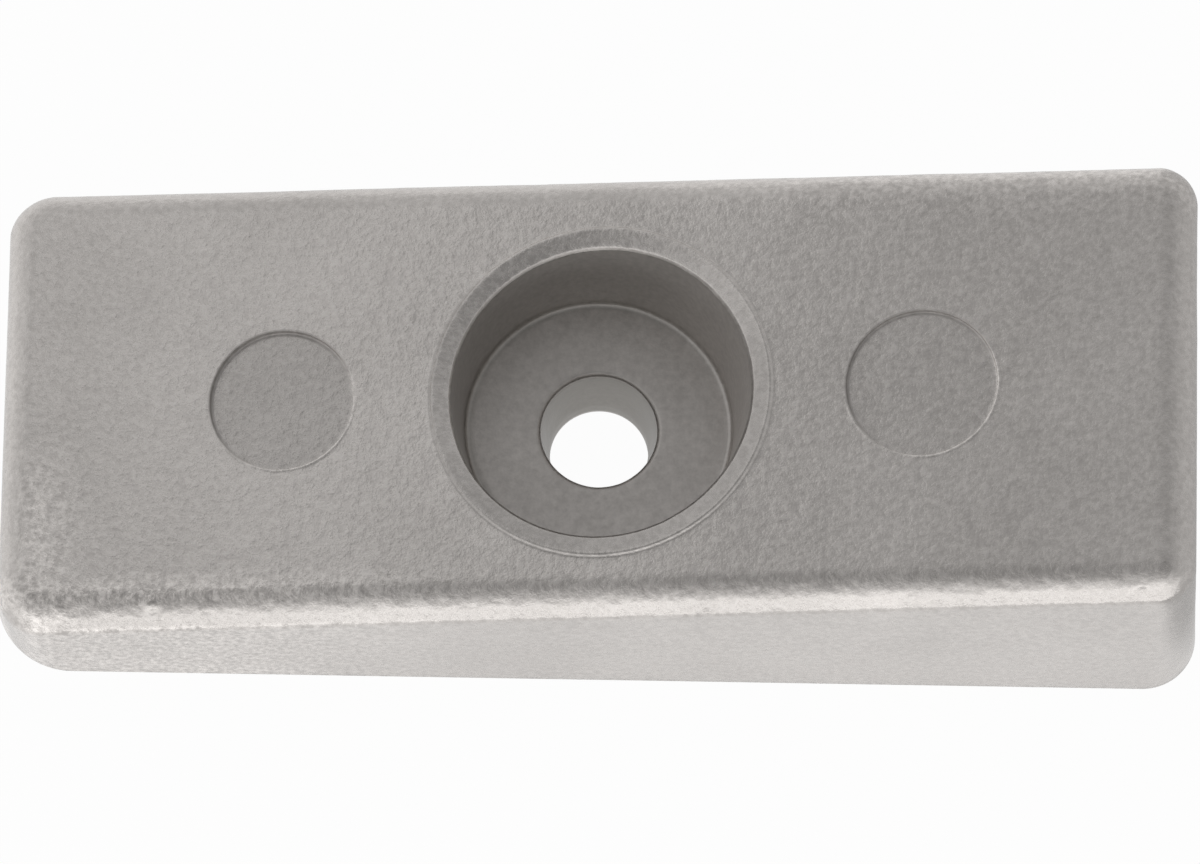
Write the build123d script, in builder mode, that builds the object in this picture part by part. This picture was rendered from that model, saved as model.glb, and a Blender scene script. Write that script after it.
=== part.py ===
from build123d import *
import os
from math import atan, cos, radians, sin, tan

# Block anode, one casting: a flat base, a face that slopes up along the length, and a deep
# pocket in the face for the head of the bolt that holds the block.
# Millimetres. The origin is on the base at the bolt's axis, X runs towards the thick end,
# Y across the block and Z up.

# Body, measured at the base
length = 85.0
width = 33.0
thin_end_height = 9.6
thick_end_height = 21.6
side_draft = 1.5
thin_end_draft = 3.6
thick_end_draft = 2.2
thin_corner_radius = 5.5
thick_corner_radius = 3.8
face_corner_radius = 2.7
face_edge_radius = 2.5

# The pocket and the bolt hole, which one tapered core forms
core_draft = 7.0
floor_thickness = 6.6
pocket_floor_radius = 9.45
pocket_floor_fillet = 0.4
bolt_hole_radius = 3.5
bolt_hole_land = 1.5
bolt_hole_mouth_radius = 0.35

# Lip round the mouth of the pocket: a low step whose top slopes in to the pocket
lip_radius = 12.1
lip_height = 0.2
lip_land = 0.25
lip_slope = 16.0
lip_shift = 0.2

# Shallow round marks that the ejector pins left in the face
thin_mark_radius = 5.1
thick_mark_radius = 5.3
thin_mark_distance = 22.5
thick_mark_distance = 22.8
thin_mark_depth = 0.55
thick_mark_depth = 0.4

# The sloping face
rise = (thick_end_height - thin_end_height) / length
face_angle = atan(rise)
face_height = (thin_end_height + thick_end_height) / 2
face_plane = Plane(
    origin=(0, 0, face_height),
    x_dir=(cos(face_angle), 0, sin(face_angle)),
    z_dir=(-sin(face_angle), 0, cos(face_angle)),
)


def lean(draft):
    """How far a wall of this draft leans in for each millimetre of height."""
    return tan(radians(draft))


# Where the drafted walls meet the sloping face
thin_edge_height = thin_end_height / (1 - rise * lean(thin_end_draft))
thick_edge_height = thick_end_height / (1 + rise * lean(thick_end_draft))
thin_edge_run = (length / 2 - thin_edge_height * lean(thin_end_draft)) / cos(face_angle)
thick_edge_run = (length / 2 - thick_edge_height * lean(thick_end_draft)) / cos(face_angle)
thin_edge_half_width = width / 2 - thin_edge_height * lean(side_draft)
thick_edge_half_width = width / 2 - thick_edge_height * lean(side_draft)

with BuildPart() as anode_block:
    # The block, from its base outline to the outline of its sloping face
    with BuildSketch(Plane.XY) as base_outline:
        Rectangle(length, width)
        fillet(base_outline.vertices().group_by(Axis.X)[0], radius=thin_corner_radius)
        fillet(base_outline.vertices().group_by(Axis.X)[-1], radius=thick_corner_radius)
    with BuildSketch(face_plane) as face_outline:
        Polygon(
            (-thin_edge_run, -thin_edge_half_width),
            (thick_edge_run, -thick_edge_half_width),
            (thick_edge_run, thick_edge_half_width),
            (-thin_edge_run, thin_edge_half_width),
            align=None,
        )
        fillet(face_outline.vertices(), radius=face_corner_radius)
    loft(ruled=True)
    fillet(anode_block.faces().sort_by(Axis.Z)[-1].edges(), radius=face_edge_radius)

    # The lip stands on the face, and its top is dished down to the pocket
    with BuildSketch(face_plane) as lip_outline:
        with Locations((lip_shift, 0)):
            Circle(lip_radius)
    extrude(amount=lip_height)
    with BuildSketch(face_plane.offset(lip_height)) as dish_outline:
        with Locations((lip_shift, 0)):
            Circle(lip_radius - lip_land)
    extrude(
        amount=-(lip_radius - lip_land - pocket_floor_radius) * tan(radians(lip_slope)),
        taper=90 - lip_slope,
        mode=Mode.SUBTRACT,
    )

    # The pocket is square to the base and widens upwards
    with BuildSketch(Plane.XY.offset(floor_thickness)) as pocket_outline:
        Circle(pocket_floor_radius)
    extrude(amount=thick_end_height - floor_thickness, taper=-core_draft, mode=Mode.SUBTRACT)
    pocket_floor = anode_block.faces().filter_by(Plane.XY).sort_by(Axis.Z)[-1]
    fillet(pocket_floor.edges(), radius=pocket_floor_fillet)

    # The bolt hole is straight at the base and widens from there up to the pocket
    with BuildSketch(Plane.XY) as bolt_hole_outline:
        Circle(bolt_hole_radius)
    extrude(amount=bolt_hole_land, mode=Mode.SUBTRACT)
    with BuildSketch(Plane.XY.offset(bolt_hole_land)) as bolt_hole_core:
        Circle(bolt_hole_radius)
    extrude(amount=floor_thickness - bolt_hole_land, taper=-core_draft, mode=Mode.SUBTRACT)
    pocket_floor = anode_block.faces().filter_by(Plane.XY).sort_by(Axis.Z)[-1]
    fillet(pocket_floor.inner_wires().edges(), radius=bolt_hole_mouth_radius)

    # The pin marks, each sunk to its own depth
    with BuildSketch(face_plane) as thin_mark_outline:
        with Locations((-thin_mark_distance, 0)):
            Circle(thin_mark_radius)
    extrude(amount=-thin_mark_depth, mode=Mode.SUBTRACT)
    with BuildSketch(face_plane) as thick_mark_outline:
        with Locations((thick_mark_distance, 0)):
            Circle(thick_mark_radius)
    extrude(amount=-thick_mark_depth, mode=Mode.SUBTRACT)

anode_block.part.label = "anode_block"

os.makedirs("parts", exist_ok=True)
export_step(anode_block.part, "parts/anode_block.step")
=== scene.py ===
from math import acos, atan, cos, pi, radians, sin, sqrt, tan

import bmesh
import bpy
import numpy as np
from mathutils import Matrix, Vector, noise
from mathutils.geometry import delaunay_2d_cdt


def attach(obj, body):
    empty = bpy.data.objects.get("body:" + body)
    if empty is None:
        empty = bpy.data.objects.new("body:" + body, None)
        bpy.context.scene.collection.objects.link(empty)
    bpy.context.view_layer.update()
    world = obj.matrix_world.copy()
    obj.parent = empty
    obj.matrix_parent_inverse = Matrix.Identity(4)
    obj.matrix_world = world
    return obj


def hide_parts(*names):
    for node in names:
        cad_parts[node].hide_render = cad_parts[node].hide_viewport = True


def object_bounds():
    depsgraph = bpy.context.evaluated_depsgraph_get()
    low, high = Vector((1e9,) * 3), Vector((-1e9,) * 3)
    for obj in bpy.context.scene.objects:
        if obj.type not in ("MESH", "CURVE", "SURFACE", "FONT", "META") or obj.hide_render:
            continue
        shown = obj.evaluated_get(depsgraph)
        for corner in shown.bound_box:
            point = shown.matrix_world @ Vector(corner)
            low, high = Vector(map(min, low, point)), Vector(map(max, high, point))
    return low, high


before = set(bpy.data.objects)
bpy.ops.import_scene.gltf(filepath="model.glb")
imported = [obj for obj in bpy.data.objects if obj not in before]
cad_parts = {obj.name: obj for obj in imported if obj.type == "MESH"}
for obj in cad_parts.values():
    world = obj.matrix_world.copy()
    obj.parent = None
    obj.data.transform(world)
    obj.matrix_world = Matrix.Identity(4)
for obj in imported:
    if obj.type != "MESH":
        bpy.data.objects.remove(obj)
cad_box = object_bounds()

MM = 0.001

# The casting's sizes in millimetres and degrees, as the solid has them
LENGTH = 85.0
WIDTH = 33.0
THIN_END_HEIGHT = 9.6
THICK_END_HEIGHT = 21.6
SIDE_DRAFT = 1.5
THIN_END_DRAFT = 3.6
THICK_END_DRAFT = 2.2
THIN_CORNER_RADIUS = 5.5
THICK_CORNER_RADIUS = 3.8
FACE_CORNER_RADIUS = 2.7
FACE_EDGE_RADIUS = 2.5
CORE_DRAFT = 7.0
FLOOR_THICKNESS = 6.6
POCKET_FLOOR_RADIUS = 9.45
POCKET_FLOOR_FILLET = 0.4
BOLT_HOLE_RADIUS = 3.5
BOLT_HOLE_LAND = 1.5
LIP_RADIUS = 12.1
LIP_HEIGHT = 0.2
LIP_LAND = 0.25
LIP_SLOPE = 16.0
LIP_SHIFT = 0.2

# The round marks of the ejector pins: place along the face, radius and depth
MARKS = ((-22.5, 5.1, 0.55), (22.8, 5.3, 0.4))
MARK_FLOOR_FILLET = 0.12

# Burrs round each mark: middle and half angle in degrees, and height
MARK_BURRS = (((-82, 58, 0.045),), ((-75, 50, 0.03), (0, 32, 0.05), (-140, 25, 0.03)))
BURR_PLACE = 0.13
BURR_WIDTH = 0.08
BURR_WANDER = 0.05
BURR_UNEVENNESS = 0.7
BURR_NOISE_SCALE = 1.6

# Edges, as wear has rounded or burnished them
BASE_EDGE_RADIUS = 0.22
HOLE_EDGE_RADIUS = 0.15
BOLT_HOLE_MOUTH_RADIUS = 0.42
SOFT_EDGE = 0.12
BURNISH_ANGLE = radians(51)
BURNISH_WIDTH = 0.8
WORN_FACE_RADIUS = 2.6
WORN_WALL_RADIUS = 0.75
WEAR_POWER = 3
CORNER_SPARE = 0.08
RIM_BEVEL_WIDTH = 0.03
RIM_BEVEL_HEIGHT = 0.04
RIM_ROUNDING = 0.28
RIM_WEAR = 0.09

# Nicks, dents and specks of the casting: place, reach and height over the skin
BLEMISHES = (
    ((-31.25, -14.7, 10.95), 0.34, 0.16),
    ((-30.8, -15.2, 10.5), 0.28, -0.16),
    ((-30.75, -15.6, 10.1), 0.3, -0.2),
    ((-27.5, -15.0, 11.0), 0.28, 0.08),
    ((-27.2, -15.45, 10.75), 0.27, -0.16),
    ((-24.95, -15.45, 11.05), 0.26, -0.13),
    ((-36.5, -15.3, 10.0), 0.4, -0.05),
    ((-34.2, -15.2, 10.3), 0.35, 0.05),
    ((37.97, -15.25, 19.95), 0.27, -0.13),
    ((39.2, -15.2, 20.1), 0.8, -0.07),
    ((-0.87, -11.33, 15.53), 0.4, -0.05),
    ((-6.73, 9.23, 14.77), 0.4, -0.05),
    ((11.06, -3.13, 17.21), 0.45, 0.05),
    ((-25.22, -3.94, 11.46), 0.5, 0.03),
    ((-22.18, -2.91, 11.9), 0.26, -0.04),
    ((-16.99, 1.38, 13.18), 0.3, 0.04),
    ((-16.52, 1.05, 13.25), 0.3, 0.04),
    ((27.95, 0.6, 19.53), 0.3, 0.045),
    ((28.25, 0.9, 19.57), 0.3, 0.045),
    ((28.55, 1.2, 19.61), 0.28, 0.04),
    ((18.24, 6.18, 18.18), 0.28, 0.04),
    ((-30.3, 13.0, 11.3), 0.4, -0.04),
    ((-17.11, -14.22, 13.13), 0.26, -0.05),
)

# A streak on the near wall: its ends, reach and height
STREAK = ((0.4, -16.1, 13.25), (8.9, -16.1, 13.65), 0.22, 0.03)

# An arc beside the thin end's mark: centre, radius, middle, half angle, reach and height
RAISED_ARC = (-22.28, 6.1, radians(108), radians(24), 0.22, 0.02)
ARC_TILT = 4

# The relief of the skin: height, fineness and offset of each noise
SKIN_WAVES = (
    (0.030, 0.13, (0, 0, 0)),
    (0.012, 0.42, (7, 3, 1)),
    (0.011, 1.05, (1, 9, 4)),
    (0.008, 2.1, (0, 0, 0)),
)
SKIN_DROP = 0.012
SKIN_FADE_HEIGHT = 1.2

# The ragged skin along the near edge, where the skin turns up enough
RAGGED_WAVES = (
    (0.028, 1.5, (5, 2, 8)),
    (0.012, 3.1, (0, 0, 0)),
)
RAGGED_FROM = -13.8
RAGGED_FADE = 0.6
RAGGED_TILT = 3

# The metal: its two tones, its shine and the height of its grain
METAL_DARK = (0.55, 0.522, 0.50, 1)
METAL_LIGHT = (0.72, 0.686, 0.66, 1)
METALLIC = 0.85
ROUGHNESS_LOW = 0.22
ROUGHNESS_HIGH = 0.31
BUMP_HEIGHT = 0.042
FINE_GRAIN_SHARE = 0.35
CORE_GRAIN_SHARE = 0.35
GRAIN_RUN = (-40.0, 40.0)
GRAIN_SHARES = (1.3, 0.75)

# Noise textures: scale, detail and roughness
PATCHES = (0.09, 3, 0.5)
MOTTLE = (2.2, 3, 0.6)
GRAIN = (6.5, 2, 0.6)
NOISE_SPAN = (0.3, 0.7)
PATCH_SHARES = (-0.2, 0.2)
MOTTLE_SHARES = (0.05, 0.95)

# Painted shade in the core's pocket, hole and mouth: how dark it is, and where each part of it begins and
# ends
PAINTED_SHADE = (0.37, 0.37, 0.35, 1)
POCKET_SHADE_NEAR = 0.06
POCKET_SHADE_FAR = 0.24
POCKET_SHADE_RUN = (-6.0, 7.0)
WALL_SHADE = 0.46
WALL_SHADE_EDGE = (-0.5, 0.1)
WALL_SHADE_RUN = (4.0, 9.0)
WALL_SHADE_LEAST = 0.3
CORNER_SHADE = 0.58
CORNER_SHADE_HEIGHTS = (0.25, 0.9)
HOLE_SHADE = 0.78
HOLE_SHADE_HEIGHTS = (-0.1, -0.5)
MOUTH_SHADE = 0.3
MOUTH_SHADE_OUT = 0.1
MOUTH_SHADE_EDGE = (0.1, 0.4)
INSIDE_CORE = (-0.22, -0.06)
ABOVE_BASE = (0.0, 0.5)
POCKET_DULLING = 0.14

# Painted shade on the lip, and a painted shadow along its foot
LIP_SHADE = 0.18
LIP_SHADE_RADIUS = 11.3
LIP_SHADE_EDGE = (0.4, 0.8)
LIP_SHADE_SLANT = 0.5
LIP_SHADE_SIDE = (-2.0, 5.0)
LIP_FOOT_SHADOW = 0.28
LIP_FOOT_RADIUS = 12.12
LIP_FOOT_EDGE = (0.08, 0.24)
LIP_FOOT_SLANT = 0.6
LIP_FOOT_SIDE = (-2.0, -7.0)

# The marks: the painted shade of their floors, the side that their painted shadow is on, and the painted
# highlight on the burr opposite
MARK_SHADES = (0.82, 0.94)
MARK_SHADE_EDGE = (-0.25, 0.05)
MARK_SIDE_Y = 0.75
MARK_SIDE_X = 0.65
MARK_SHADOW = 0.3
MARK_SHADOW_OUT = -0.05
MARK_SHADOW_EDGE = (0.06, 0.22)
MARK_SHADOW_SIDE = (-2.4, 2.4)
MARK_SHADOW_DULLING = 1.1
BURR_HIGHLIGHT = 0.22
BURR_HIGHLIGHT_OUT = 0.1
BURR_HIGHLIGHT_EDGE = (0.05, 0.16)
BURR_HIGHLIGHT_SIDE = (-1.0, -3.0)
BURR_HIGHLIGHT_SPAN = (0.4, 0.6)
BURR_HIGHLIGHT_SHARES = (0.4, 1.2)

# Painted light on the skin: along the near edge, at the thin end and on the far side
PAINTED_LIGHT = 0.42
PAINTED_LIGHT_SPAN = (0.35, 0.65)
NEAR_LIT_X = (-10.0, -27.0)
NEAR_LIT_FROM = (-12.2, -13.6)
NEAR_LIT_TO = (-14.3, -14.8)
WALL_LIT_Y = (-15.9, -16.1)
WALL_LIT_SHARE = 0.76
END_LIT_FROM = (-35.5, -39.0)
END_LIT_TO = (-39.8, -41.0)
END_LIT_Y = (-2.0, -8.0)
END_LIT_SHARE = 0.8
FAR_LIT_X = (0.0, 20.0)
FAR_LIT_Y = (12.0, 14.5)
FAR_LIT_SHARE = 0.45

# How finely the mesh follows the form
FACE_SPACING = 0.27
BASE_SPACING = 2.6
FILL_JITTER = 0.14
NEAR_COLUMNS = 400
FAR_COLUMNS = 190
END_COLUMNS = 76
CORNER_COLUMNS = 18
POCKET_COLUMNS = 264
MARK_COLUMNS = 124
BASE_EDGE_ROWS = 4
WALL_ROWS = 16
EDGE_ROWS = 24
POCKET_WALL_SHARES = (0.012, 0.03, *np.linspace(0.06, 1, 30))
FLOOR_FILLET_ROWS = 9
POCKET_FLOOR_ROWS = 17
MOUTH_ROWS = 7
HOLE_ROWS = 13
LAND_ROWS = 5
HOLE_EDGE_ANGLES = (30, 60, 90)
RIM_LEAST_HEIGHT = 2
RIM_SEARCH_STEPS = 40

# The rows round a mark, outside its rim, over the rim and down its wall
MARK_SKIRT = 0.42
MARK_SKIRT_STEPS = (0.34, 0.27, 0.21, 0.16, 0.11, 0.06)
MARK_RIM_STEPS = ((0.02, -0.015), (0, -0.05))
MARK_WALL_TOP = 0.15
MARK_WALL_ROWS = 3
MARK_FILLET_ANGLES = (18, 36, 54, 72, 90)
MARK_FILL_GAP = 0.6

# The circles that the mesh of the face follows, and the room that they are given
RIM_GUIDES = (0.08, 0.2)
LIP_GUIDE_OFFSET = 0.06
LIP_GUIDE_ROOM = 0.07
SOFT_EDGE_GUIDES = (-1.4, -0.7, 0, 0.7, 1.4)
GUIDE_GAP = 0.62
FLAT_TOLERANCE = 1e-7

# The points of the base, and the room that they leave at its edge, corners and hole
BASE_INSET = 0.6
BASE_MARGIN = 2
BASE_CORNER = 6
BASE_CORNER_REACH = 4.4

# The floor, in metres
FLOOR_REACH = 3.0
FLOOR_DROP = 0.0001
FLOOR_CARD = (0.86, 0.86, 0.86, 1)
FLOOR_GLOW_SEEN = 0.97
FLOOR_GLOW_REFLECTED = 0.8
# The reflected glow drops to this beside the thick end, a painted shadow
FLOOR_GLOW_SHADED = 0.2
FLOOR_SHADE_EDGE = (0.0425, 0.046)

# The camera, fitted to the outline, the pocket and the marks
CAMERA_TILT = radians(17.813)
CAMERA_TURN = radians(1.861)
CAMERA_ROLL = radians(-0.823)
CAMERA_DISTANCE = 0.83182
CAMERA_TARGET = Vector((0.000219, -0.0039, 0.0184))
CAMERA_LENS = 358.1
CAMERA_SENSOR = 36
CAMERA_NEAR_LIMIT = 0.01

# Two softboxes that shine straight down beside the thin end: name, place, size and power
SOFTBOXES = (
    ("left_softbox", (-0.08, 0.075, 0.17), (0.056, 0.13), 0.0068),
    ("far_left_softbox", (-0.37, 0.05, 0.17), (0.3, 0.3), 0.0155),
)

# The dome of light
DOME_OVERHEAD = 0.36
DOME_ASIDE = 0.29
DOME_FRONT = 1.3
DOME_LEFT = 0.08
DOME_GAP = 1.2
DOME_GAP_EDGE = 0.86

SEED = 41
rng = np.random.default_rng(SEED)


def lean(draft):
    """How far a wall of this draft leans for each millimetre of height."""
    return tan(radians(draft))


RISE = (THICK_END_HEIGHT - THIN_END_HEIGHT) / LENGTH
FACE_ANGLE = atan(RISE)
FACE_HEIGHT = (THIN_END_HEIGHT + THICK_END_HEIGHT) / 2
FACE_ORIGIN = np.array((0, 0, FACE_HEIGHT))
FACE_X = np.array((cos(FACE_ANGLE), 0, sin(FACE_ANGLE)))
FACE_Y = np.array((0.0, 1.0, 0.0))
FACE_Z = np.array((-sin(FACE_ANGLE), 0, cos(FACE_ANGLE)))
UP = np.array((0.0, 0.0, 1.0))


def on_face(p, q, height=0.0):
    """The place of points given along, across and above the sloping face."""
    p, q, height = np.broadcast_arrays(p, q, height)
    return FACE_ORIGIN + p[..., None] * FACE_X + q[..., None] * FACE_Y + height[..., None] * FACE_Z


def face_coordinates(points):
    """How far points lie along, across and above the sloping face."""
    offset = points - FACE_ORIGIN
    return offset @ FACE_X, offset @ FACE_Y, offset @ FACE_Z


def unit(vectors):
    return vectors / np.linalg.norm(vectors, axis=-1, keepdims=True)


def rounded_outline(corners, radii, straight_counts, arc_counts):
    """Points, directions and segment numbers round a polygon with rounded corners, anticlockwise."""
    corners = [np.array(c) for c in corners]
    count = len(corners)
    headings = [unit(corners[(k + 1) % count] - corners[k]) for k in range(count)]
    turns = [acos(float(headings[k - 1] @ headings[k])) for k in range(count)]
    trims = [radii[k] * tan(turns[k] / 2) for k in range(count)]
    points = []
    directions = []
    segments = []
    for k in range(count):
        nxt = (k + 1) % count
        heading = headings[k]
        start = corners[k] + heading * trims[k]
        end = corners[nxt] - heading * trims[nxt]
        for i in range(straight_counts[k]):
            points.append(start + (end - start) * i / straight_counts[k])
            directions.append(heading)
            segments.append(2 * k)
        inward = np.array((-heading[1], heading[0]))
        centre = end + inward * radii[nxt]
        for i in range(arc_counts[nxt]):
            angle = turns[nxt] * i / arc_counts[nxt]
            c, s = cos(angle), sin(angle)
            outward = np.array((-inward[0] * c + inward[1] * s, -inward[0] * s - inward[1] * c))
            points.append(centre + outward * radii[nxt])
            directions.append(np.array((heading[0] * c - heading[1] * s, heading[0] * s + heading[1] * c)))
            segments.append(2 * k + 1)
    return np.array(points), np.array(directions), np.array(segments)


class Shell:
    """A mesh that grows by rows of points and by triangulated faces."""

    def __init__(self):
        self.blocks = []
        self.faces = []
        self.count = 0

    def add(self, points):
        points = np.asarray(points, dtype=float).reshape(-1, 3)
        self.blocks.append(points)
        self.count += len(points)
        return np.arange(self.count - len(points), self.count)

    def band(self, low, high):
        """Quads between two closed rows of the same length."""
        for i in range(len(low)):
            j = (i + 1) % len(low)
            self.faces.append((low[i], low[j], high[j], high[i]))

    def grid(self, rows):
        ids = [self.add(row) for row in rows]
        for low, high in zip(ids, ids[1:]):
            self.band(low, high)
        return ids

    def points(self):
        return np.concatenate(self.blocks)


def circle(centre, radius, columns):
    angles = np.arange(columns) * 2 * pi / columns
    return np.stack((centre + radius * np.cos(angles), radius * np.sin(angles)), axis=1)


def hexagonal_fill(low, high, spacing):
    """Evenly spaced points over a rectangle, each moved a little."""
    rows = []
    step = spacing * sqrt(3) / 2
    for j in range(int((high[1] - low[1]) / step) + 1):
        xs = np.arange(low[0] + (j % 2) * spacing / 2, high[0], spacing)
        rows.append(np.stack((xs, np.full(len(xs), low[1] + j * step)), axis=1))
    points = np.concatenate(rows)
    return points + rng.uniform(-FILL_JITTER, FILL_JITTER, points.shape) * spacing


def triangulate(shell, outside, holes, guides, fill, lift):
    """Fills a flat region inside one closed row and round others.

    A row is its point numbers and its flat points, anticlockwise. Guides are rows of flat points only.
    """
    flat = []
    edges = []
    owner = {}
    rows = [outside] + holes
    for number, (ids, points) in enumerate(rows + [(None, guide) for guide in guides]):
        first = len(flat)
        for i, point in enumerate(points):
            if ids is not None:
                owner[first + i] = (number, i)
            flat.append(point)
            edges.append((first + i, first + (i + 1) % len(points)))
    flat.extend(fill)
    result = delaunay_2d_cdt([Vector((float(u), float(v))) for u, v in flat], edges, [], 0, FLAT_TOLERANCE)
    places, _, triangles, originals = result[:4]
    places = np.array([(v.x, v.y) for v in places])
    belongs = []
    for sources in originals:
        match = [owner[k] for k in sources if k in owner]
        belongs.append(match[0] if match else None)
    numbers = np.array([-1 if b is None else rows[b[0]][0][b[1]] for b in belongs])
    fresh = np.flatnonzero(numbers < 0)
    numbers[fresh] = shell.add(lift(places[fresh]))
    for triangle in triangles:
        owners = [belongs[k] for k in triangle]
        if all(owners) and owners[0][0] == owners[1][0] == owners[2][0]:
            first, second, third = sorted(triangle, key=lambda k: belongs[k][1])
            u = places[second] - places[first]
            v = places[third] - places[first]
            anticlockwise = u[0] * v[1] - u[1] * v[0] > 0
            if anticlockwise == (owners[0][0] > 0):
                continue
        shell.faces.append(tuple(numbers[list(triangle)]))


def smooth_step(t):
    t = np.clip(t, 0, 1)
    return t * t * (3 - 2 * t)


def dish_height(p, q):
    """Height of the cone that dishes the lip, over the sloping face."""
    return LIP_HEIGHT - (LIP_RADIUS - LIP_LAND - np.hypot(p - LIP_SHIFT, q)) * lean(LIP_SLOPE)


def lip_relief(p, q):
    """Height of the lip and its dished top over the sloping face."""
    inside = LIP_RADIUS + SOFT_EDGE - np.hypot(p - LIP_SHIFT, q)
    return np.minimum(LIP_HEIGHT * smooth_step(inside / (2 * SOFT_EDGE)), dish_height(p, q))


# The block's sides, from the base outline up to the rounded edge of the face
thin_height = THIN_END_HEIGHT / (1 - RISE * lean(THIN_END_DRAFT))
thick_height = THICK_END_HEIGHT / (1 + RISE * lean(THICK_END_DRAFT))
thin_run = (LENGTH / 2 - thin_height * lean(THIN_END_DRAFT)) / cos(FACE_ANGLE)
thick_run = (LENGTH / 2 - thick_height * lean(THICK_END_DRAFT)) / cos(FACE_ANGLE)
thin_half = WIDTH / 2 - thin_height * lean(SIDE_DRAFT)
thick_half = WIDTH / 2 - thick_height * lean(SIDE_DRAFT)
straights = (NEAR_COLUMNS, END_COLUMNS, FAR_COLUMNS, END_COLUMNS)
arcs = (CORNER_COLUMNS,) * 4
half_length = LENGTH / 2
half_width = WIDTH / 2
base_2d, base_dir, segment = rounded_outline(
    (
        (-half_length, -half_width),
        (half_length, -half_width),
        (half_length, half_width),
        (-half_length, half_width),
    ),
    (THIN_CORNER_RADIUS, THICK_CORNER_RADIUS, THICK_CORNER_RADIUS, THIN_CORNER_RADIUS),
    straights,
    arcs,
)
face_2d, face_dir, _ = rounded_outline(
    ((-thin_run, -thin_half), (thick_run, -thick_half), (thick_run, thick_half), (-thin_run, thin_half)),
    (FACE_CORNER_RADIUS,) * 4,
    straights,
    arcs,
)
base_points = np.column_stack((base_2d, np.zeros(len(base_2d))))
base_along = np.column_stack((base_dir, np.zeros(len(base_2d))))
face_points = on_face(face_2d[:, 0], face_2d[:, 1])
face_along = face_dir[:, :1] * FACE_X + face_dir[:, 1:] * FACE_Y
wall = face_points - base_points


def square_to(vectors, along):
    """The directions of the parts of vectors that are square to the directions along."""
    return unit(vectors - (vectors * along).sum(axis=1, keepdims=True) * along)


def rounding(corner, first, second, radius, rows):
    """Rows of an arc in a corner, from the surface that runs along first to the one along second."""
    half = np.arccos((first * second).sum(axis=1)) / 2
    reach = np.minimum(radius / np.tan(half), FACE_CORNER_RADIUS - CORNER_SPARE)
    radius = (reach * np.tan(half))[:, None]
    centre = corner + unit(first + second) * radius / np.sin(half)[:, None]
    start = (corner + first * reach[:, None] - centre) / radius
    end = (corner + second * reach[:, None] - centre) / radius
    sweep = np.arccos((start * end).sum(axis=1))[:, None]
    result = []
    for t in np.linspace(0, 1, rows):
        blend = (start * np.sin((1 - t) * sweep) + end * np.sin(t * sweep)) / np.sin(sweep)
        result.append(centre + blend * radius)
    return result


def worn_rounding(corner, first, second, rows):
    """Rows over a worn edge: a tight arc from the wall, a burnished flat and a wide arc to the face."""
    slope = BURNISH_ANGLE
    tight_rows = rows // 3
    tight = np.linspace(pi / 2, slope, tight_rows)
    wide = np.linspace(slope, 0, rows - tight_rows)
    run = WORN_WALL_RADIUS * (1 - np.sin(tight))
    fall = WORN_WALL_RADIUS * np.cos(tight)
    flat_run = run[-1] + BURNISH_WIDTH * cos(slope)
    flat_fall = fall[-1] + BURNISH_WIDTH * sin(slope)
    run = np.concatenate((run, flat_run + WORN_FACE_RADIUS * (sin(slope) - np.sin(wide))))
    fall = np.concatenate((fall, flat_fall + WORN_FACE_RADIUS * (np.cos(wide) - cos(slope))))
    return [corner + first * (fall[-1] - f) + second * r for r, f in zip(run, fall)]


shell = Shell()
base_inward = np.cross(UP, base_along)
base_edge = rounding(base_points, base_inward, square_to(wall, base_along), BASE_EDGE_RADIUS, BASE_EDGE_ROWS)
face_inward = np.cross(FACE_Z, face_along)
wall_down = -square_to(wall, face_along)
worn_share = np.clip(face_inward[:, 1:2], 0, 1) ** WEAR_POWER
even_edge = rounding(face_points, wall_down, face_inward, FACE_EDGE_RADIUS, EDGE_ROWS)
worn_edge = worn_rounding(face_points, wall_down, face_inward, EDGE_ROWS)
face_edge = [even + (worn - even) * worn_share for even, worn in zip(even_edge, worn_edge)]
wall_rows = []
for t in np.linspace(0, 1, WALL_ROWS + 2)[1:-1]:
    wall_rows.append(base_edge[-1] + (face_edge[0] - base_edge[-1]) * t)
base_inset = base_points + base_inward * BASE_INSET
side_ids = shell.grid([base_inset] + base_edge + wall_rows + face_edge)

# The pocket, from its rim down to the bolt hole and out at the base
core_lean = lean(CORE_DRAFT)
core_cos = cos(radians(CORE_DRAFT))
core_sin = sin(radians(CORE_DRAFT))
turn = np.arange(POCKET_COLUMNS) * 2 * pi / POCKET_COLUMNS
ray = np.stack((np.cos(turn), np.sin(turn), np.zeros(POCKET_COLUMNS)), axis=1)


def pocket_radius(z):
    return POCKET_FLOOR_RADIUS + (z - FLOOR_THICKNESS) * core_lean


def ring(radius, z):
    radius, z = np.broadcast_arrays(radius, z)
    if radius.ndim == 0:
        radius = np.full(POCKET_COLUMNS, float(radius))
        z = np.full(POCKET_COLUMNS, float(z))
    return ray * radius[:, None] + UP * z[:, None]


# The rim, found by halving the heights between which it lies
low = np.full(POCKET_COLUMNS, FLOOR_THICKNESS + RIM_LEAST_HEIGHT)
high = np.full(POCKET_COLUMNS, THICK_END_HEIGHT)
for _ in range(RIM_SEARCH_STEPS):
    middle = (low + high) / 2
    p, q, height = face_coordinates(ring(pocket_radius(middle), middle))
    over = height > dish_height(p, q)
    high = np.where(over, middle, high)
    low = np.where(over, low, middle)
rim_z = (low + high) / 2
rim = ring(pocket_radius(rim_z), rim_z)
rim_p, rim_q, _ = face_coordinates(rim)
rim_radius = np.hypot(rim_p, rim_q)
rim_angle = np.arctan2(rim_q, rim_p)

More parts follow.
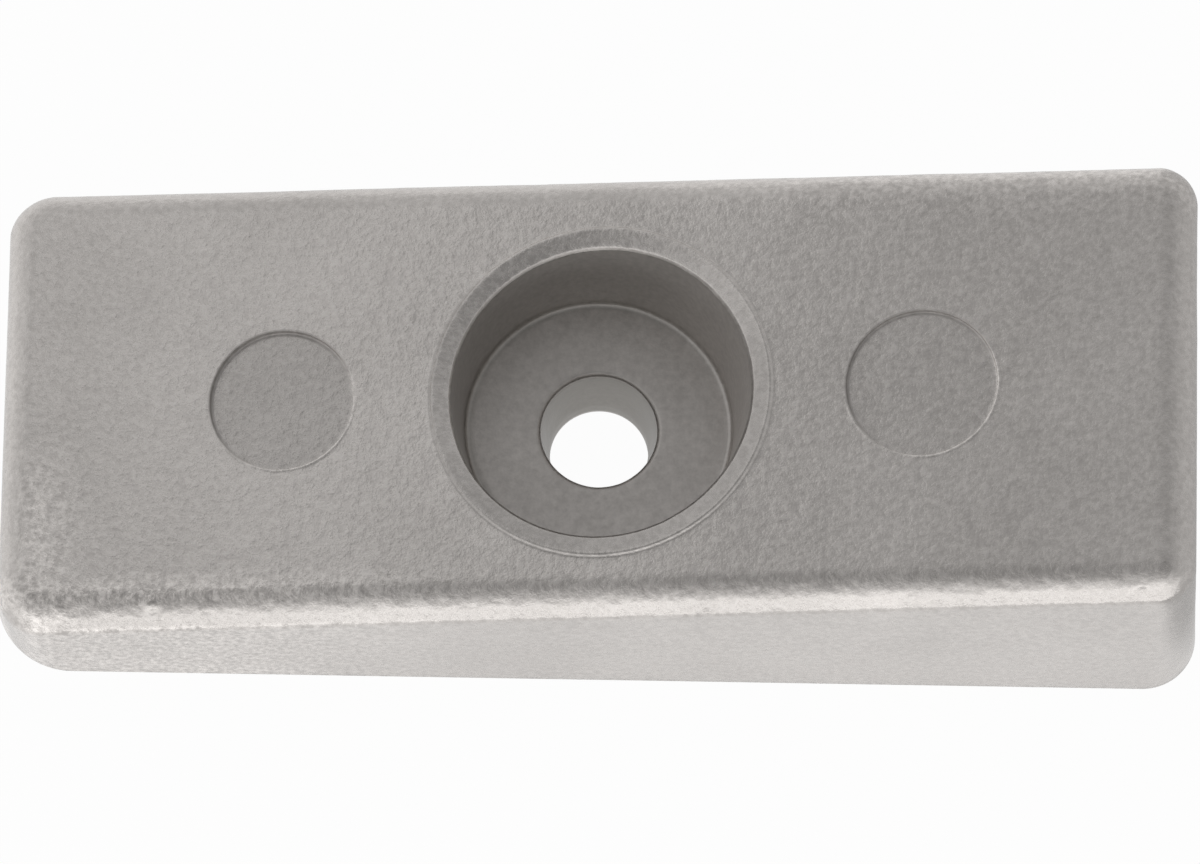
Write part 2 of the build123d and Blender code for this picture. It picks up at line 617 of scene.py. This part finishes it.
floor_centre = POCKET_FLOOR_RADIUS + POCKET_FLOOR_FILLET * core_lean - POCKET_FLOOR_FILLET / core_cos
wall_foot_z = FLOOR_THICKNESS + POCKET_FLOOR_FILLET * (1 - core_sin)
mouth_radius = BOLT_HOLE_RADIUS + (FLOOR_THICKNESS - BOLT_HOLE_LAND) * core_lean
mouth_centre = mouth_radius - BOLT_HOLE_MOUTH_RADIUS * core_lean + BOLT_HOLE_MOUTH_RADIUS / core_cos
pocket_rows = [ring(pocket_radius(rim_z) + RIM_BEVEL_WIDTH, rim_z - RIM_BEVEL_HEIGHT)]
for t in POCKET_WALL_SHARES:
    z = rim_z + (wall_foot_z - rim_z) * t
    pocket_rows.append(ring(pocket_radius(z), z))
for angle in np.radians(np.linspace(-CORE_DRAFT, -90, FLOOR_FILLET_ROWS))[1:]:
    pocket_rows.append(ring(
        floor_centre + POCKET_FLOOR_FILLET * cos(angle),
        FLOOR_THICKNESS + POCKET_FLOOR_FILLET * (1 + sin(angle)),
    ))
for radius in np.linspace(floor_centre, mouth_centre, POCKET_FLOOR_ROWS)[1:-1]:
    pocket_rows.append(ring(radius, FLOOR_THICKNESS))
for angle in np.radians(np.linspace(90, 180 - CORE_DRAFT, MOUTH_ROWS)):
    pocket_rows.append(ring(
        mouth_centre + BOLT_HOLE_MOUTH_RADIUS * cos(angle),
        FLOOR_THICKNESS - BOLT_HOLE_MOUTH_RADIUS * (1 - sin(angle)),
    ))
hole_top = FLOOR_THICKNESS - BOLT_HOLE_MOUTH_RADIUS * (1 - core_sin)
for z in np.linspace(hole_top, BOLT_HOLE_LAND, HOLE_ROWS)[1:]:
    pocket_rows.append(ring(BOLT_HOLE_RADIUS + (z - BOLT_HOLE_LAND) * core_lean, z))
for z in np.linspace(BOLT_HOLE_LAND, HOLE_EDGE_RADIUS, LAND_ROWS)[1:]:
    pocket_rows.append(ring(BOLT_HOLE_RADIUS, z))
for angle in np.radians(HOLE_EDGE_ANGLES):
    pocket_rows.append(ring(
        BOLT_HOLE_RADIUS + HOLE_EDGE_RADIUS * (1 - cos(angle)),
        HOLE_EDGE_RADIUS * (1 - sin(angle)),
    ))
pocket_ids = shell.grid(pocket_rows)

# The round marks, from the face down their walls and in over their floors
mark_holes = []
for (along, radius, depth), burrs in zip(MARKS, MARK_BURRS):
    outline = circle(0, 1, MARK_COLUMNS)
    burr = np.zeros(MARK_COLUMNS)
    around = np.degrees(np.arange(MARK_COLUMNS) * 2 * pi / MARK_COLUMNS)
    for middle, spread, rise in burrs:
        off = (around - middle + 180) % 360 - 180
        burr = np.maximum(burr, rise * np.exp(-((off / spread) ** 4)))
    spots = outline * radius * BURR_NOISE_SCALE
    uneven = np.array([noise.noise(Vector((u, v, along))) for u, v in spots])
    burr = burr * (1 + BURR_UNEVENNESS * uneven)
    burr_place = BURR_PLACE + BURR_WANDER * uneven
    section = [(radius + MARK_SKIRT, 0)]
    section += [(radius + out, 0) for out in MARK_SKIRT_STEPS]
    section += [(radius + out, height) for out, height in MARK_RIM_STEPS]
    section += [(radius, -z) for z in np.linspace(MARK_WALL_TOP, depth - MARK_FLOOR_FILLET, MARK_WALL_ROWS)]
    for angle in np.radians(MARK_FILLET_ANGLES):
        section.append((
            radius - MARK_FLOOR_FILLET * (1 - cos(angle)),
            -depth + MARK_FLOOR_FILLET * (1 - sin(angle)),
        ))
    ids = []
    for reach, height in section:
        flat = outline * reach + (along, 0)
        raised = burr * np.exp(-(((reach - radius - burr_place) / BURR_WIDTH) ** 2)) if reach > radius else 0
        ids.append(shell.add(on_face(flat[:, 0], flat[:, 1], height + raised)))
    for low, high in zip(ids, ids[1:]):
        shell.band(low, high)
    mark_holes.append((ids[0], outline * section[0][0] + (along, 0)))
    inside = section[-1][0]
    fill = hexagonal_fill((-inside, -inside), (inside, inside), FACE_SPACING)
    fill = fill[np.hypot(fill[:, 0], fill[:, 1]) < inside - FACE_SPACING * MARK_FILL_GAP] + (along, 0)
    triangulate(
        shell,
        (ids[-1], outline * inside + (along, 0)),
        [],
        [],
        fill,
        lambda flat, depth=depth: on_face(flat[:, 0], flat[:, 1], -depth),
    )

# The sloping face with its lip
edge_p, edge_q, _ = face_coordinates(face_edge[-1])
guides = []
for outwards in RIM_GUIDES:
    scale = (rim_radius + outwards) / rim_radius
    guides.append(np.stack((rim_p * scale, rim_q * scale), axis=1))
for offset in (-LIP_GUIDE_OFFSET, LIP_GUIDE_OFFSET):
    guides.append(circle(LIP_SHIFT, LIP_RADIUS - LIP_LAND + offset, POCKET_COLUMNS))
for share in SOFT_EDGE_GUIDES:
    guides.append(circle(LIP_SHIFT, LIP_RADIUS + SOFT_EDGE * share, POCKET_COLUMNS))

fill = hexagonal_fill((-thin_run, -thin_half), (thick_run, thin_half), FACE_SPACING)
gap = FACE_SPACING * GUIDE_GAP
order = np.argsort(rim_angle)
fill_rim = np.interp(np.arctan2(fill[:, 1], fill[:, 0]), rim_angle[order], rim_radius[order], period=2 * pi)
clear = np.hypot(fill[:, 0], fill[:, 1]) > fill_rim + RIM_GUIDES[-1] + gap
for radius in (LIP_RADIUS - LIP_LAND, LIP_RADIUS):
    clear &= np.abs(np.hypot(fill[:, 0] - LIP_SHIFT, fill[:, 1]) - radius) > gap + LIP_GUIDE_ROOM
for along, radius, _ in MARKS:
    clear &= np.hypot(fill[:, 0] - along, fill[:, 1]) > radius + MARK_SKIRT + gap
for k in range(4):
    side = segment == 2 * k
    heading = face_dir[side][0]
    inwards = (fill[:, 1] - edge_q[side][0]) * heading[0] - (fill[:, 0] - edge_p[side][0]) * heading[1]
    clear &= inwards > gap
triangulate(
    shell,
    (side_ids[-1], np.stack((edge_p, edge_q), axis=1)),
    [(pocket_ids[0], np.stack((rim_p, rim_q), axis=1))] + mark_holes,
    guides,
    fill[clear],
    lambda flat: on_face(flat[:, 0], flat[:, 1], lip_relief(flat[:, 0], flat[:, 1])),
)

# The flat base
hole_out = ring(BOLT_HOLE_RADIUS + BASE_INSET, 0.0)
hole_support = shell.add(hole_out)
shell.band(pocket_ids[-1], hole_support)
base_corner = np.array((half_length, half_width))
fill = hexagonal_fill(BASE_MARGIN - base_corner, base_corner - BASE_MARGIN, BASE_SPACING)
fill = fill[np.hypot(fill[:, 0], fill[:, 1]) > BOLT_HOLE_RADIUS + BASE_MARGIN]
into_corner = np.maximum(np.abs(fill) - (base_corner - BASE_CORNER), 0)
fill = fill[np.hypot(into_corner[:, 0], into_corner[:, 1]) < BASE_CORNER_REACH]
triangulate(
    shell,
    (side_ids[0], base_inset[:, :2]),
    [(hole_support, hole_out[:, :2])],
    [],
    fill,
    lambda flat: np.column_stack((flat, np.zeros(len(flat)))),
)

points = shell.points()
mesh = bpy.data.meshes.new("anode_casting")
mesh.from_pydata([tuple(p) for p in points], [], [tuple(int(i) for i in f) for f in shell.faces])
shaped = bmesh.new()
shaped.from_mesh(mesh)
bmesh.ops.recalc_face_normals(shaped, faces=shaped.faces)
normals = np.array([tuple(v.normal) for v in shaped.verts])


def relief(waves, places):
    """The summed height of some noises at each place."""
    return np.array([
        sum(height * noise.noise(place * fineness + Vector(offset)) for height, fineness, offset in waves)
        for place in places
    ])[:, None]


# The skin moves along its normals: broad waves and the grain of the mould, then wear and blemishes
places = [Vector(point) for point in points]
nearness = np.clip((RAGGED_FROM - points[:, 1:2]) / RAGGED_FADE, 0, 1)
nearness = nearness * np.clip(normals[:, 2:] * RAGGED_TILT, 0, 1)
moved = relief(SKIN_WAVES, places) + nearness * relief(RAGGED_WAVES, places) - SKIN_DROP
fade = np.clip(points[:, 2:] / SKIN_FADE_HEIGHT, 0, 1)
angle = np.arctan2(points[:, 1], points[:, 0]) % (2 * pi)
rim_out = np.interp(angle, turn, pocket_radius(rim_z), period=2 * pi)
rim_up = np.interp(angle, turn, rim_z, period=2 * pi)
from_rim = np.hypot(np.hypot(points[:, 0], points[:, 1]) - rim_out, points[:, 2] - rim_up)[:, None]
worn = RIM_WEAR * np.clip(1 - from_rim / RIM_ROUNDING, 0, 1) ** 2
for place, reach, rise in BLEMISHES:
    near = ((points - place) ** 2).sum(axis=1, keepdims=True) / reach**2
    moved += rise * np.exp(-near)
start, end, reach, rise = STREAK
course = np.array(end) - start
share = np.clip((points - start) @ course / (course @ course), 0, 1)[:, None]
moved += rise * np.exp(-((points - start - share * course) ** 2).sum(axis=1, keepdims=True) / reach**2)
arc_x, arc_radius, arc_middle, arc_half, reach, rise = RAISED_ARC
off_arc = np.hypot(points[:, 0] - arc_x, points[:, 1]) - arc_radius
off_middle = (np.arctan2(points[:, 1], points[:, 0] - arc_x) - arc_middle) / arc_half
on_top = np.clip(normals[:, 2] * ARC_TILT, 0, 1)
moved += (rise * on_top * np.exp(-((off_arc / reach) ** 2) - off_middle**4))[:, None]
points = points + normals * (moved * fade - worn)

# Nothing of it stands outside the solid's own box
box_low = np.array(cad_box[0]) / MM
box_high = np.array(cad_box[1]) / MM
points = np.clip(points, box_low, box_high)
for vertex, point in zip(shaped.verts, points):
    vertex.co = Vector(point) * MM
for face in shaped.faces:
    face.smooth = True
shaped.to_mesh(mesh)
shaped.free()
mesh.update()
casting = bpy.data.objects.new("anode_casting", mesh)
bpy.context.scene.collection.objects.link(casting)
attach(casting, "root")
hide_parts("anode_block")


class Graph:
    """A node tree. A number, a colour or the output of another node can feed an input."""

    def __init__(self, tree):
        self.nodes = tree.nodes
        self.links = tree.links

    def feed(self, socket, value):
        if isinstance(value, bpy.types.NodeSocket):
            self.links.new(value, socket)
        else:
            socket.default_value = value

    def add(self, kind, inputs=None, **settings):
        node = self.nodes.new(kind)
        for name, value in settings.items():
            setattr(node, name, value)
        for name, value in (inputs or {}).items():
            self.feed(node.inputs[name], value)
        return node

    def maths(self, operation, *values):
        return self.add("ShaderNodeMath", dict(enumerate(values)), operation=operation).outputs["Value"]

    def plus(self, first, second):
        return self.maths("ADD", first, second)

    def minus(self, first, second):
        return self.maths("SUBTRACT", first, second)

    def times(self, first, second):
        return self.maths("MULTIPLY", first, second)

    def larger(self, first, second):
        return self.maths("MAXIMUM", first, second)

    def distance(self, across, along):
        return self.maths("SQRT", self.plus(self.times(across, across), self.times(along, along)))

    def ranged(self, source, span, results):
        """Results are what it gives at the two ends of the span, and beyond them."""
        return self.add("ShaderNodeMapRange", {
            "Value": source,
            "From Min": span[0],
            "From Max": span[1],
            "To Min": results[0],
            "To Max": results[1],
        }).outputs["Result"]

    def line(self, source, middle, edge, strength):
        """A line where source is near middle. It fades out between the two distances of its edge."""
        return self.ranged(self.maths("ABSOLUTE", self.minus(source, middle)), edge, (strength, 0.0))

    def scaled(self, vector, factor):
        inputs = {0: vector, "Scale": factor}
        return self.add("ShaderNodeVectorMath", inputs, operation="SCALE").outputs["Vector"]

    def axes(self, vector):
        split = self.add("ShaderNodeSeparateXYZ", {"Vector": vector})
        return [split.outputs[name] for name in "XYZ"]

    def noise(self, place, scale, detail, roughness):
        inputs = {"Vector": place, "Scale": scale, "Detail": detail, "Roughness": roughness}
        return self.add("ShaderNodeTexNoise", inputs).outputs["Fac"]

    def coordinates(self, kind):
        return self.add("ShaderNodeTexCoord").outputs[kind]


def new_material(name):
    material = bpy.data.materials.new(name)
    material.use_nodes = True
    material.node_tree.nodes.clear()
    return material, Graph(material.node_tree)


def about(middle, span):
    return middle + span[0], middle + span[1]


def core_painted_shade(graph, x, y, z, from_axis):
    """Painted shade in the hole, round its mouth and on the pocket's wall, and a little of it all over."""
    hole = graph.ranged(z, about(FLOOR_THICKNESS, HOLE_SHADE_HEIGHTS), (0.0, HOLE_SHADE))
    corner = graph.ranged(z, about(FLOOR_THICKNESS, CORNER_SHADE_HEIGHTS), (CORNER_SHADE, WALL_SHADE))
    wall = graph.times(graph.ranged(from_axis, about(floor_centre, WALL_SHADE_EDGE), (0.0, 1.0)), corner)
    wall = graph.times(wall, graph.ranged(x, WALL_SHADE_RUN, (1.0, WALL_SHADE_LEAST)))
    whole = graph.ranged(y, POCKET_SHADE_RUN, (POCKET_SHADE_NEAR, POCKET_SHADE_FAR))
    mouth = graph.line(from_axis, mouth_radius + MOUTH_SHADE_OUT, MOUTH_SHADE_EDGE, MOUTH_SHADE)
    return graph.larger(mouth, graph.larger(hole, graph.larger(wall, whole)))


def from_place(graph, x, y, along):
    """How far along the face a point lies from a place on its middle line, and how far in all."""
    run = graph.times(graph.minus(x, along * cos(FACE_ANGLE)), 1 / cos(FACE_ANGLE))
    return run, graph.distance(run, y)


def lip_painted_shade(graph, x, y):
    """Painted shade on the lip towards the front, and a painted shadow along its foot towards the thin end.
    """
    _, reach = from_place(graph, x, y, LIP_SHIFT)
    on_lip = graph.line(reach, LIP_SHADE_RADIUS, LIP_SHADE_EDGE, LIP_SHADE)
    frontal = graph.ranged(graph.minus(graph.times(x, LIP_SHADE_SLANT), y), LIP_SHADE_SIDE, (0.0, 1.0))
    at_foot = graph.line(reach, LIP_FOOT_RADIUS, LIP_FOOT_EDGE, LIP_FOOT_SHADOW)
    thinward = graph.ranged(graph.plus(x, graph.times(y, LIP_FOOT_SLANT)), LIP_FOOT_SIDE, (0.0, 1.0))
    return graph.plus(graph.times(on_lip, frontal), graph.times(at_foot, thinward))


def mark_shade(graph, x, y, mottle, along, radius, shade):
    """A mark's tone: painted shade on its floor, a painted shadow in one side's corner, and a painted
    highlight on the burr at the other.
    """
    run, reach = from_place(graph, x, y, along)
    floor_tone = graph.ranged(reach, about(radius, MARK_SHADE_EDGE), (shade, 1.0))
    aside = graph.minus(graph.times(y, MARK_SIDE_Y), graph.times(run, MARK_SIDE_X))
    dark = graph.line(reach, radius + MARK_SHADOW_OUT, MARK_SHADOW_EDGE, MARK_SHADOW)
    dark = graph.times(dark, graph.ranged(aside, MARK_SHADOW_SIDE, (0.0, 1.0)))
    light = graph.line(reach, radius + BURR_HIGHLIGHT_OUT, BURR_HIGHLIGHT_EDGE, BURR_HIGHLIGHT)
    light = graph.times(light, graph.ranged(aside, BURR_HIGHLIGHT_SIDE, (0.0, 1.0)))
    light = graph.times(light, graph.ranged(mottle, BURR_HIGHLIGHT_SPAN, BURR_HIGHLIGHT_SHARES))
    ringed = graph.plus(graph.minus(light, dark), 1.0)
    return graph.times(ringed, floor_tone), dark


def painted_light_places(graph, x, y):
    """Where light is painted on the skin: the near edge, the thin end and the far side."""
    near = graph.times(
        graph.ranged(y, NEAR_LIT_FROM, (0.0, 1.0)),
        graph.ranged(y, NEAR_LIT_TO, (1.0, 0.0)),
    )
    near = graph.larger(near, graph.ranged(y, WALL_LIT_Y, (0.0, WALL_LIT_SHARE)))
    near = graph.times(graph.ranged(x, NEAR_LIT_X, (0.0, 1.0)), near)
    at_end = graph.times(
        graph.ranged(x, END_LIT_FROM, (0.0, END_LIT_SHARE)),
        graph.ranged(x, END_LIT_TO, (1.0, 0.0)),
    )
    at_end = graph.times(at_end, graph.ranged(y, END_LIT_Y, (0.0, 1.0)))
    far = graph.times(
        graph.ranged(x, FAR_LIT_X, (0.0, FAR_LIT_SHARE)),
        graph.ranged(y, FAR_LIT_Y, (0.0, 1.0)),
    )
    return graph.larger(near, graph.larger(at_end, far))


def cast_metal():
    """As-cast zinc: light grey with a fine grain, with painted shade in the core's pocket, on the lip and at
    the marks, and painted light in places.
    """
    material, graph = new_material("cast_zinc")
    place = graph.scaled(graph.coordinates("Object"), 1 / MM)
    x, y, z = graph.axes(place)
    patches = graph.noise(place, *PATCHES)
    mottle = graph.noise(place, *MOTTLE)
    grain = graph.noise(place, *GRAIN)

    from_axis = graph.distance(x, y)
    core_edge = graph.plus(graph.times(z, core_lean), pocket_radius(0))
    within = graph.ranged(graph.minus(core_edge, from_axis), INSIDE_CORE, (0.0, 1.0))
    in_core = graph.times(within, graph.ranged(z, ABOVE_BASE, (0.0, 1.0)))
    # Painted shade in the pocket, down the hole and round its mouth
    core_shade = graph.times(in_core, core_painted_shade(graph, x, y, z, from_axis))

    # Painted shade on the lip and a painted shadow along its foot darken the colour
    shade = graph.minus(1.0, lip_painted_shade(graph, x, y))
    dulled = graph.times(in_core, POCKET_DULLING)
    # Each mark: painted shade on its floor, a painted shadow in one corner and a painted highlight on its
    # burr
    for (along, radius, _), floor_shade in zip(MARKS, MARK_SHADES):
        tone, mark_shadow = mark_shade(graph, x, y, mottle, along, radius, floor_shade)
        shade = graph.times(tone, shade)
        dulled = graph.plus(dulled, graph.times(mark_shadow, MARK_SHADOW_DULLING))
    # Painted light along the near edge, at the thin end and on the far side
    painted_lit = graph.times(painted_light_places(graph, x, y), graph.ranged(mottle, PAINTED_LIGHT_SPAN, (0.0, PAINTED_LIGHT)))
    shade = graph.times(shade, graph.plus(painted_lit, 1.0))

    patchy = graph.ranged(patches, NOISE_SPAN, PATCH_SHARES)
    mottled = graph.ranged(mottle, NOISE_SPAN, MOTTLE_SHARES)
    ramp = graph.add("ShaderNodeValToRGB", {"Fac": graph.plus(patchy, mottled)})
    ramp.color_ramp.elements[0].color = METAL_DARK
    ramp.color_ramp.elements[1].color = METAL_LIGHT
    shaded = graph.scaled(ramp.outputs["Color"], shade)

    # A mix of colours takes its share at 0 and its colours at 6 and 7, and gives its result at 2
    inputs = {0: core_shade, 6: shaded, 7: PAINTED_SHADE}
    core_shaded = graph.add("ShaderNodeMix", inputs, data_type="RGBA", blend_type="MULTIPLY")

    skin = graph.plus(mottle, graph.times(grain, FINE_GRAIN_SHARE))
    height = graph.times(skin, graph.ranged(in_core, (0.0, 1.0), (1.0, CORE_GRAIN_SHARE)))
    height = graph.times(height, graph.ranged(x, GRAIN_RUN, GRAIN_SHARES))
    bump = graph.add("ShaderNodeBump", {"Strength": 1.0, "Distance": BUMP_HEIGHT * MM, "Height": height})
    rough = graph.plus(graph.ranged(mottle, NOISE_SPAN, (ROUGHNESS_LOW, ROUGHNESS_HIGH)), dulled)
    shader = graph.add("ShaderNodeBsdfPrincipled", {
        "Base Color": core_shaded.outputs[2],
        "Metallic": METALLIC,
        "Roughness": rough,
        "Normal": bump.outputs["Normal"],
    })
    graph.add("ShaderNodeOutputMaterial", {"Surface": shader.outputs["BSDF"]})
    return material


mesh.materials.append(cast_metal())


def floor_material():
    """A card that shows as white and keeps the shadow. Its reflection is dimmer beside the thick end, a
    painted shadow.
    """
    material, graph = new_material("pale_floor")
    path = graph.add("ShaderNodeLightPath")
    reflected = graph.larger(path.outputs["Is Glossy Ray"], path.outputs["Is Transmission Ray"])
    x = graph.axes(graph.coordinates("Object"))[0]
    level = graph.ranged(x, FLOOR_SHADE_EDGE, (FLOOR_GLOW_REFLECTED, FLOOR_GLOW_SHADED))
    reflection = graph.times(reflected, level)
    share = graph.maths("MULTIPLY_ADD", path.outputs["Is Camera Ray"], FLOOR_GLOW_SEEN, reflection)
    card = graph.add("ShaderNodeBsdfDiffuse", {"Color": FLOOR_CARD})
    glow = graph.add("ShaderNodeEmission", {"Color": (1, 1, 1, 1), "Strength": 1.0})
    mix = graph.add("ShaderNodeMixShader", {0: share, 1: card.outputs["BSDF"], 2: glow.outputs["Emission"]})
    graph.add("ShaderNodeOutputMaterial", {"Surface": mix.outputs["Shader"]})
    return material


floor_mesh = bpy.data.meshes.new("floor")
floor_corners = [(-1, -1), (1, -1), (1, 1), (-1, 1)]
floor_mesh.from_pydata([(u * FLOOR_REACH, v * FLOOR_REACH, 0) for u, v in floor_corners], [], [(0, 1, 2, 3)])
floor_mesh.materials.append(floor_material())
floor = bpy.data.objects.new("floor", floor_mesh)
floor.location.z = -FLOOR_DROP
bpy.context.scene.collection.objects.link(floor)

# Camera
back = Vector((sin(CAMERA_TURN) * sin(CAMERA_TILT), -cos(CAMERA_TURN) * sin(CAMERA_TILT), cos(CAMERA_TILT)))
level = Vector((cos(CAMERA_TURN), sin(CAMERA_TURN), 0))
upright = back.cross(level)
right = level * cos(CAMERA_ROLL) + upright * sin(CAMERA_ROLL)
up = upright * cos(CAMERA_ROLL) - level * sin(CAMERA_ROLL)
camera_data = bpy.data.cameras.new("camera")
camera_data.sensor_fit = "HORIZONTAL"
camera_data.sensor_width = CAMERA_SENSOR
camera_data.lens = CAMERA_LENS
camera_data.clip_start = CAMERA_NEAR_LIMIT
camera = bpy.data.objects.new("camera", camera_data)
camera.matrix_world = Matrix((
    (right.x, up.x, back.x, 0),
    (right.y, up.y, back.y, 0),
    (right.z, up.z, back.z, 0),
    (0, 0, 0, 1),
))
camera.location = CAMERA_TARGET + back * CAMERA_DISTANCE
bpy.context.scene.collection.objects.link(camera)
bpy.context.scene.camera = camera

# Lights, and a dome of light round them
for name, place, size, power in SOFTBOXES:
    data = bpy.data.lights.new(name, "AREA")
    data.shape = "RECTANGLE"
    data.size, data.size_y = size
    data.energy = power
    light = bpy.data.objects.new(name, data)
    light.location = place
    light.visible_camera = False
    bpy.context.scene.collection.objects.link(light)


def dome():
    """Light from all round: brightest low in front, dimmer overhead and dimmest round the camera."""
    world = bpy.data.worlds.new("dome")
    bpy.context.scene.world = world
    world.use_nodes = True
    graph = Graph(world.node_tree)
    x, y, z = graph.axes(graph.coordinates("Generated"))
    height = graph.larger(z, 0.0)
    aside = graph.minus(1.0, graph.times(height, height))
    forward = graph.maths("POWER", graph.larger(graph.times(y, -1.0), 0.0), 2.0)
    low = graph.maths("POWER", graph.minus(1.0, height), 2.0)
    front = graph.times(low, graph.times(forward, DOME_FRONT))
    left = graph.times(x, -DOME_LEFT)
    level = graph.plus(graph.times(aside, DOME_ASIDE), graph.plus(front, left))
    across = graph.times(y, -sin(CAMERA_TILT))
    towards = graph.plus(graph.times(height, cos(CAMERA_TILT)), across)
    gap = graph.larger(graph.minus(towards, DOME_GAP_EDGE), 0.0)
    level = graph.minus(level, graph.times(gap, DOME_GAP))
    background = graph.nodes["Background"]
    background.inputs["Color"].default_value = (1, 1, 1, 1)
    graph.feed(background.inputs["Strength"], graph.plus(level, DOME_OVERHEAD))


dome()
bpy.context.scene.view_settings.view_transform = "Standard"
